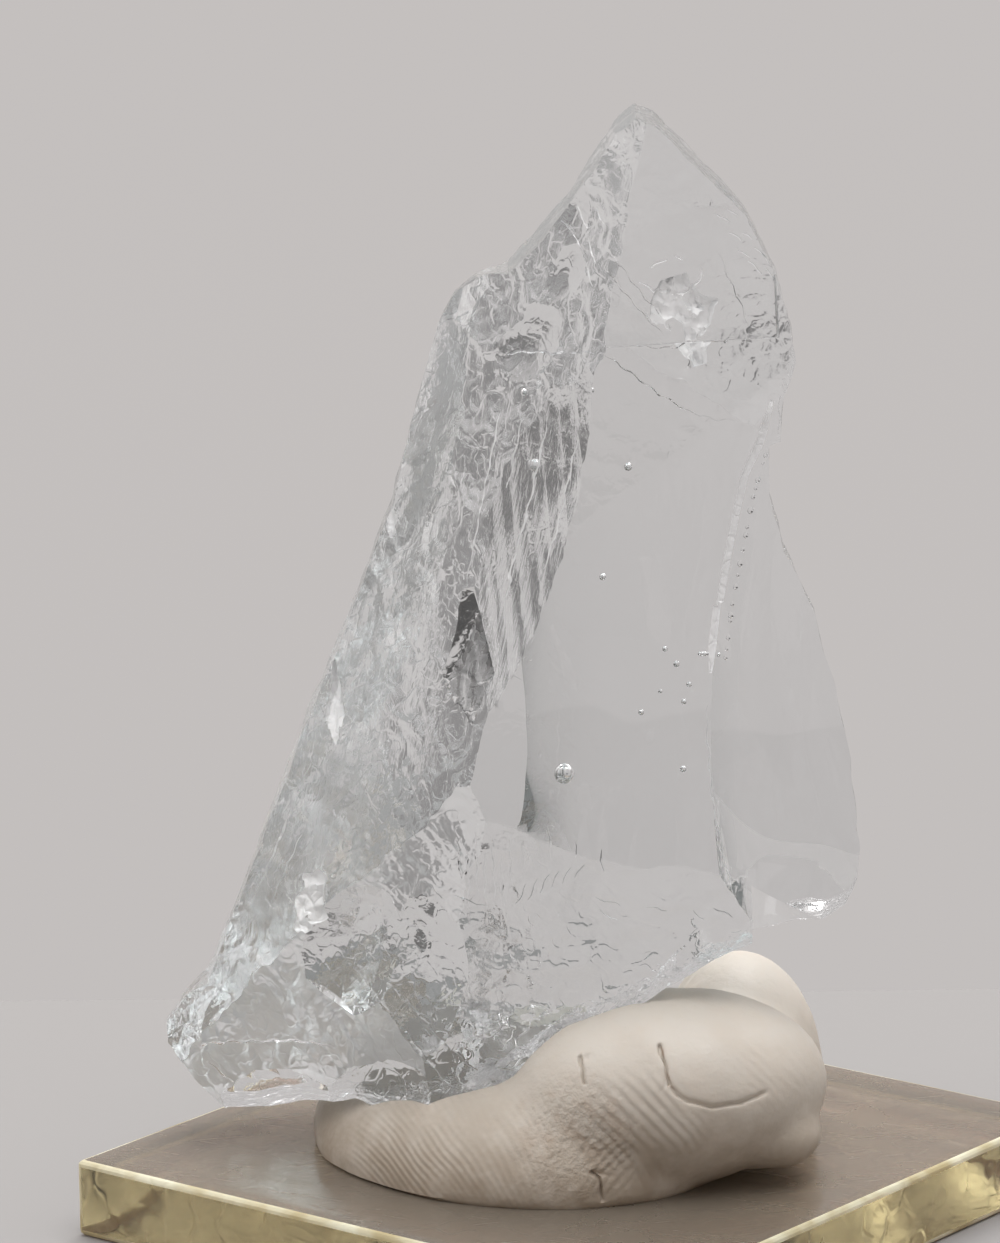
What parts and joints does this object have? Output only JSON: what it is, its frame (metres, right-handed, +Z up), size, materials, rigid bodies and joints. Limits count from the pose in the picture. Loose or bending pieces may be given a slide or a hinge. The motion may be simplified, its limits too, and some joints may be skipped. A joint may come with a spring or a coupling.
{
  "type": "clear andara crystal on a display rest",
  "caption": "Clear glassy andara crystal leaning in a pressed lump of white putty on a square clear acrylic plate, for display.",
  "frame": {"origin": "middle of the square plate's underside, where it stands on a surface, which is also the bottom centre of the whole box", "axes": "+Z up along the crystal's length; -Y towards the viewer of its large smooth face; +X to the right of that face"},
  "size_m": [0.0714, 0.0714, 0.0808],
  "materials": {
    "crystal_glass": "clear colourless natural glass, fire-polished hollows beside sharp hackled breaks, a few bubbles",
    "white_putty": "matt ivory modelling putty with finger-pressed ridges, creases and a soft fold",
    "clear_acrylic": "aged clear acrylic sheet, yellowed at its polished edges, with faint scratches"
  },
  "bodies": {
    "root": {"crystal": "crystal_glass", "clay_rest": "white_putty", "base_plate": "clear_acrylic"}
  },
  "joints": []
}
